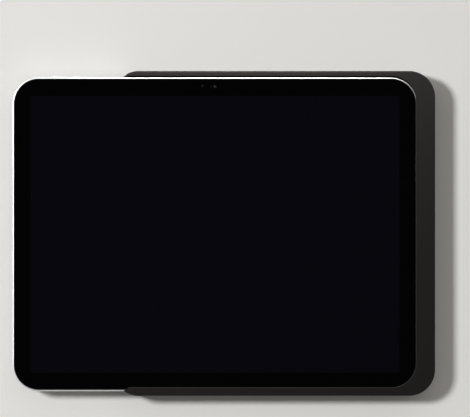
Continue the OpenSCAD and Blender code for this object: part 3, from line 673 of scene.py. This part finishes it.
def glass_finish(look, settings):
    """Cover glass: the border printed black behind it, the picture area a shade lighter and bluer,
    the windows of the camera, its sensor and a microphone as small dark discs, a paler dot in the camera's
    window as a painted highlight on its lens, and the rounded edge ground matt."""
    _, x, _, z = look.place()
    low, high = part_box("cover_glass")
    mid = ((low.x + high.x) / 2, (low.z + high.z) / 2)
    half = (settings.picture_width / 2, settings.picture_height / 2)
    lens_low, lens_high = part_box("front_camera")
    lens = (mid[0], (lens_low.z + lens_high.z) / 2)
    eye_low, eye_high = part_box("light_sensor")
    eye = ((eye_low.x + eye_high.x) / 2, (eye_low.z + eye_high.z) / 2)
    soft = 0.15 * MM
    picture = inside(rounded_box(x, z, mid, half, settings.picture_corner), soft)
    tone = look.mix(picture, settings.border, settings.picture)
    for centre, radius, shade in (
        (lens, 1.5 * MM, (0.0030, 0.0030, 0.0034)),
        # The paler inner dot in the camera window is a painted highlight on the lens
        (lens, 0.75 * MM, (0.0320, 0.0320, 0.0340)),
        ((lens[0] - 2.7 * MM, lens[1]), 0.50 * MM, (0.0090, 0.0090, 0.0095)),
        (eye, 1.05 * MM, (0.0080, 0.0080, 0.0083)),
    ):
        tone = look.mix(inside(disc(x, z, centre, radius), soft), tone, shade)
    smear = look.noise(look.place()[0], 30 * MM, 3.0)
    edge = 0.22 * MM
    polished = ((high.x - low.x) / 2 - edge, (high.z - low.z) / 2 - edge)
    ground = 1.0 - inside(rounded_box(x, z, mid, polished, 17.0 * MM), 0.05 * MM)
    look.finish(Base_Color=tone, Roughness=0.03 + smear * 0.03 + ground * 0.45, IOR=1.5, Coat_Weight=0.0)


def panel_finish(look, tone):
    """Switched-off display: rows of picture cells 0.1 mm apart, only just darker between them."""
    vector, x, _, z = look.place()
    rows = ((z * (2 * math.pi / (0.1 * MM))).wave() * 0.5 + 0.5) ** 8.0
    columns = ((x * (2 * math.pi / (0.1 * MM))).wave() * 0.5 + 0.5) ** 8.0
    look.finish(
        Base_Color=look.mix(rows.at_least(columns), tone, shade(tone, 0.5)),
        Roughness=0.3 + look.noise(vector, 20 * MM) * 0.05,
    )


def lens_finish(look, tone):
    """Coated lens: a dark middle, and rings of blue and violet out to the rim as a painted reflection of the
    coatings.
    """
    low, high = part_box("rear_camera_lens")
    _, x, _, z = look.place()
    centre = ((low.x + high.x) / 2, (low.z + high.z) / 2)
    reach = (high.x - low.x) / 2
    ring = (disc(x, z, centre, 0.0) / reach).clamped()
    # Painted reflection: coloured rings stand for the lens coatings' reflections
    painted_ring_reflection = look.mix((ring * 9.0).wave() * 0.5 + 0.5, (0.050, 0.030, 0.130), (0.010, 0.040, 0.080))
    look.finish(
        Base_Color=look.mix(inside(disc(x, z, centre, reach * 0.42), 0.2 * MM), painted_ring_reflection, tone),
        Roughness=0.03 + ring * 0.02, IOR=1.5, Coat_Weight=1.0,
    )


def write_finishes(settings):
    """One material for each of the record's slots, as {slot: material}."""
    coat, case = settings.coat, settings.case
    writers = {
        "powder_coat": lambda k: coat_finish(k, tuple(coat.tone), coat.grain, coat.relief, coat.roughness),
        "cover_metal": lambda k: coat_finish(k, tuple(coat.tone), coat.grain, coat.relief, coat.roughness),
        "plate_metal": lambda k: rolled_finish(k, (0.55, 0.56, 0.57), 0.36),
        "screw_steel": lambda k: plated_finish(k, (0.60, 0.61, 0.62), 0.30),
        "black_steel": lambda k: plated_finish(k, (0.06, 0.06, 0.064), 0.42),
        "felt": lambda k: felt_finish(k, (0.020, 0.020, 0.022)),
        "liner_plastic": lambda k: moulded_finish(k, (0.015, 0.015, 0.016), 0.50),
        "stop_rubber": lambda k: moulded_finish(k, (0.012, 0.012, 0.013), 0.80, 0.4 * MM, 0.02 * MM),
        "plug_metal": lambda k: plated_finish(k, (0.62, 0.62, 0.60), 0.24),
        "black_plastic": lambda k: moulded_finish(k, (0.012, 0.012, 0.013), 0.45),
        "board_green": lambda k: board_finish(k, (0.010, 0.090, 0.040)),
        "terminal_green": lambda k: moulded_finish(k, (0.020, 0.220, 0.080), 0.42),
        "case_metal": lambda k: blasted_finish(
            k, tuple(case.tone), case.grain, case.roughness, case.gasket),
        "black_glass": lambda k: glass_finish(k, settings.glass),
        "panel_dark": lambda k: panel_finish(k, (0.004, 0.004, 0.008)),
        "cell_wrap": lambda k: foil_finish(k, (0.020, 0.020, 0.022)),
        "lens_glass": lambda k: lens_finish(k, (0.003, 0.003, 0.004)),
        "contact_gold": lambda k: plated_finish(k, (0.90, 0.62, 0.25), 0.24),
    }
    made = {}
    for slot, write in writers.items():
        material, look = new_material(slot)
        write(look)
        made[slot] = material
    return made


# Operators


class MOUNT_OT_finishes(bpy.types.Operator):
    """Write every finish and put it on the CAD nodes of its slot"""

    bl_idname = "wall_mount.finishes"
    bl_label = "Finishes"

    def execute(self, context):
        made = write_finishes(context.scene.wall_mount)
        for subpart in frame["record"]["subparts"]:
            node = frame["nodes"][subpart["node"]]
            node.data.materials.clear()
            node.data.materials.append(made[subpart["material_slot"]])
        return {"FINISHED"}


class MOUNT_OT_threads(bpy.types.Operator):
    """Cut the thread ridges on the four hanging studs. A ridge is a helix: its angle grows evenly with its
    way along the stud, and its crest stands one depth over the core and runs out to nothing at both ends"""

    bl_idname = "wall_mount.threads"
    bl_label = "Stud threads"

    def execute(self, context):
        settings = context.scene.wall_mount.thread
        low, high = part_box("hanging_studs")
        turns = settings.length / settings.pitch
        count = int(turns * settings.steps)
        t = np.linspace(0, 2 * np.pi * turns, count)
        fade = np.clip(np.minimum(t, t[-1] - t) / np.pi, 0.02, 1.0)
        foot = 0.42 * settings.pitch
        across = np.array([-foot, 0.0, foot])
        rise = np.array([0.0, settings.depth, 0.0])
        radius = settings.core + rise[None] * fade[:, None]
        along = (t * settings.pitch / (2 * np.pi))[:, None] + across[None]
        parts = []
        for sx in (low.x + settings.inset, high.x - settings.inset):
            for sz in (low.z + settings.inset, high.z - settings.inset):
                points = np.stack([
                    sx + radius * np.cos(t)[:, None],
                    low.y + settings.start + along,
                    sz + radius * np.sin(t)[:, None],
                ], -1)
                parts.append(closed_tube(points, points[0].mean(0), points[-1].mean(0)))
        points, faces = gathered(parts)
        new_piece("stud_threads", points, faces, bpy.data.materials["screw_steel"], "mount", "screw_steel")
        return {"FINISHED"}


class MOUNT_OT_contacts(bpy.types.Operator):
    """Lay the spring contacts in the docking plug and the flat ones on the port's tongue. A spring's middle
    line leaves the slot's wall by the bow times the squared sine of its way along; its ends are narrower"""

    bl_idname = "wall_mount.contacts"
    bl_label = "Contacts"

    def execute(self, context):
        settings = context.scene.wall_mount.contact
        low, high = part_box("dock_plug")
        middle = (low + high) / 2
        places = (np.arange(settings.count) - (settings.count - 1) / 2) * settings.pitch + middle.z
        t = np.linspace(0.0, 1.0, 13)
        wide = settings.width / 2 * (1.0 - 0.35 * np.abs(2 * t - 1) ** 8)
        bowed = settings.spring_off - settings.bow * np.sin(np.pi * t) ** 2
        flat = np.full(t.shape, settings.pad_off)
        springs, pads = [], []
        for face in (-1, 1):
            for z in places:
                for made, start, off, half in (
                    (springs, settings.spring_start, bowed, settings.spring_half),
                    (pads, -settings.pad_start, flat, settings.pad_half),
                ):
                    path = np.stack([
                        low.x + start + settings.length * t, middle.y + face * off, np.full(t.shape, z)], 1)
                    made.append(swept(path, (0, 0, 1), wide, half))
        gold = bpy.data.materials["contact_gold"]
        new_piece("plug_contacts", *gathered(springs), gold, "mount", "plug_metal")
        new_piece("port_contacts", *gathered(pads), gold, "tablet", "plug_metal")
        return {"FINISHED"}


class MOUNT_OT_board_parts(bpy.types.Operator):
    """Fit the chips, coils, capacitors and shield cans on the two circuit boards"""

    bl_idname = "wall_mount.board_parts"
    bl_label = "Board parts"

    def execute(self, context):
        dock_black, dock_bright = dock_board_parts()
        main_black, main_bright = main_board_parts()
        for name, parts, body, slot in (
            ("dock_board_chips", dock_black, "mount", "black_plastic"),
            ("dock_board_metal", dock_bright, "mount", "screw_steel"),
            ("main_board_chips", main_black, "tablet", "black_plastic"),
            ("main_board_cans", main_bright, "tablet", "plug_metal"),
        ):
            new_piece(name, *gathered(parts), bpy.data.materials[slot], body, slot)
        return {"FINISHED"}


class MOUNT_OT_lens(bpy.types.Operator):
    """Set the domed front glass on the tablet's rear camera"""

    bl_idname = "wall_mount.lens"
    bl_label = "Rear lens"

    def execute(self, context):
        settings = context.scene.wall_mount.lens
        low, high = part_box("rear_camera_lens")
        reach = (high.x - low.x) / 2 - 0.1 * MM
        # The dome's height falls as the cosine while its radius grows as the sine of one quarter turn
        t = np.linspace(np.pi / 2, 0, 13)[:-1]
        dome = np.stack([reach * np.sin(t), settings.rise * np.cos(t)], 1)
        profile = np.concatenate([[[0, -0.03 * MM], [reach * 0.99, -0.03 * MM]], dome, [[0, settings.rise]]])
        centre = ((low.x + high.x) / 2, high.y, (low.z + high.z) / 2)
        points, faces = turned(profile, centre, (0, 1, 0), settings.sides)
        new_piece("rear_lens_dome", points, faces, bpy.data.materials["lens_glass"], "tablet", "lens_glass")
        return {"FINISHED"}


def stage_sheet(scene, name, corners, tone):
    """The wall or the floor. From behind, the wall lets the view and the light that follows it through, and
    hides the floor too. The floor is seen by the camera but sends no light back up."""
    mesh = bpy.data.meshes.new(name)
    mesh.from_pydata(corners, [], [(0, 1, 2, 3)])
    material, look = new_material(name + "_paint")
    vector, *_ = look.place()
    texture = look.noise(vector, 1.5 * MM, 3.0)
    paint = look.node("ShaderNodeBsdfDiffuse", 0, None, {
        "Color": look.mix(texture, shade(tone, 0.985), tone), "Normal": look.bump(texture, 0.01 * MM)})
    behind = look.node("ShaderNodeNewGeometry", "Backfacing")
    shown = 1.0 - look.node("ShaderNodeLightPath", "Transparent Depth").at_most(1.0)
    if name == "floor":
        shown = shown * look.node("ShaderNodeLightPath", "Is Camera Ray")
    clear = look.node("ShaderNodeBsdfTransparent")
    look.output(look.node("ShaderNodeMixShader", 0, None, {0: shown * (1.0 - behind), 1: clear, 2: paint}))
    mesh.materials.append(material)
    sheet = bpy.data.objects.new(name, mesh)
    scene.collection.objects.link(sheet)


def stage_world(scene, ambient):
    """Even light for matt surfaces, dark-to-pale surroundings for gloss, and a pale view for the camera."""
    world = bpy.data.worlds.new("studio")
    world.use_nodes = True
    scene.world = world
    look = Look(world.node_tree)
    heading = look.node("ShaderNodeTexCoord", "Generated")
    parts = look.node("ShaderNodeSeparateXYZ", 0, None, {0: heading}).socket.node
    x, y, z = (Val(look, parts.outputs[i]) for i in range(3))
    turn = (y * -1.0).at_most(1.0).math("ARCCOSINE")
    open_part = ((turn - DARK_CONE) / CONE_BLEND).clamped()
    path = look.node("ShaderNodeLightPath").socket.node
    camera, glossy, through = (
        Val(look, path.outputs[n]) for n in ("Is Camera Ray", "Is Glossy Ray", "Is Transmission Ray"))
    level = ambient + x * AMBIENT_RIGHT + z * AMBIENT_UP
    even = look.node("ShaderNodeVectorMath", 0, {"operation": "SCALE"}, {
        0: AMBIENT_TINT, "Scale": level.at_least(0.02)})
    seen = look.mix(open_part, DARK, PALE)
    tone = look.mix(camera, look.mix(glossy.at_least(through), even, seen), PALE)
    look.output(look.node("ShaderNodeBackground", 0, None, {"Color": tone, "Strength": 1.0}),
                "ShaderNodeOutputWorld")


def stage_lamp(scene, name, way, away, size, share, on_matt):
    """A square lamp `away` metres from the wall along `way`, giving `share` of the plain level there."""
    heading = Vector(way).normalized()
    slant = -heading.y
    reach = away / slant
    lamp = bpy.data.lights.new(name, "AREA")
    lamp.shape, lamp.size = "SQUARE", size
    lamp.energy = share * math.pi / slant * math.pi * reach ** 2
    stand = bpy.data.objects.new(name, lamp)
    scene.collection.objects.link(stand)
    stand.location = Vector((-0.02, 0.0, 0.0)) + heading * reach
    stand.rotation_euler = (-heading).to_track_quat("-Z", "Y").to_euler()
    stand.visible_diffuse = on_matt


def stage_camera(scene, settings):
    """A camera straight in front, whose pixels are `scale` metres wide at the front of the mount."""
    lens = bpy.data.cameras.new("camera")
    lens.sensor_width = 36.0
    lens.lens = lens.sensor_width * settings.view_distance / (PICTURE_WIDTH * settings.scale)
    lens.clip_end = 20.0
    camera = bpy.data.objects.new("camera", lens)
    scene.collection.objects.link(camera)
    camera.location = (settings.centre_x, cad_low[1] - settings.view_distance, settings.centre_z)
    camera.rotation_euler = (math.pi / 2, 0.0, 0.0)
    scene.camera = camera


class MOUNT_OT_stage(bpy.types.Operator):
    """Put up the wall, the floor, the lamps, the even light and the camera"""

    bl_idname = "wall_mount.stage"
    bl_label = "Stage"

    def execute(self, context):
        scene, settings = context.scene, context.scene.wall_mount.stage
        left, right, bottom, top, near, face = -1.6, 1.6, -1.2, 1.4, -3.0, 0.0002
        stage_sheet(scene, "wall", [
            (left, face, bottom), (right, face, bottom), (right, face, top), (left, face, top),
        ], settings.wall_tone)
        stage_sheet(scene, "floor", [
            (left, near, bottom), (right, near, bottom), (right, face, bottom), (left, face, bottom),
        ], settings.wall_tone)
        stage_world(scene, settings.ambient)
        stage_lamp(scene, "key", KEY_WAY, settings.key_distance, settings.key_size, settings.key_share, True)
        stage_lamp(scene, "top", TOP_WAY, TOP_AWAY, settings.top_size, settings.top_share, False)
        stage_camera(scene, settings)
        scene.view_settings.view_transform = "Standard"
        return {"FINISHED"}


class MOUNT_PT_panel(bpy.types.Panel):
    """Sizes and finishes of the wall mount"""

    bl_label = "Wall mount"
    bl_idname = "MOUNT_PT_panel"
    bl_space_type = "VIEW_3D"
    bl_region_type = "UI"
    bl_category = "Wall mount"

    def draw(self, context):
        settings = context.scene.wall_mount
        for group in ("coat", "case", "glass", "thread", "contact", "lens", "stage"):
            box = self.layout.box()
            box.label(text=group.title())
            part = getattr(settings, group)
            for name in part.__annotations__:
                box.prop(part, name)
        for operator in OPERATORS:
            self.layout.operator(operator.bl_idname)


OPERATORS = (
    MOUNT_OT_finishes, MOUNT_OT_threads, MOUNT_OT_contacts, MOUNT_OT_board_parts, MOUNT_OT_lens,
    MOUNT_OT_stage,
)
CLASSES = (
    CoatSettings, CaseSettings, GlassSettings, ThreadSettings, ContactSettings, LensSettings,
    StageSettings, MountSettings,
    *OPERATORS, MOUNT_PT_panel,
)


def register():
    for cls in CLASSES:
        bpy.utils.register_class(cls)
    bpy.types.Scene.wall_mount = PointerProperty(type=MountSettings)


def unregister():
    del bpy.types.Scene.wall_mount
    for cls in reversed(CLASSES):
        bpy.utils.unregister_class(cls)


def main():
    register()
    bpy.ops.wall_mount.finishes()
    bpy.ops.wall_mount.threads()
    bpy.ops.wall_mount.contacts()
    bpy.ops.wall_mount.board_parts()
    bpy.ops.wall_mount.lens()
    bpy.ops.wall_mount.stage()


if __name__ == "__main__":
    main()
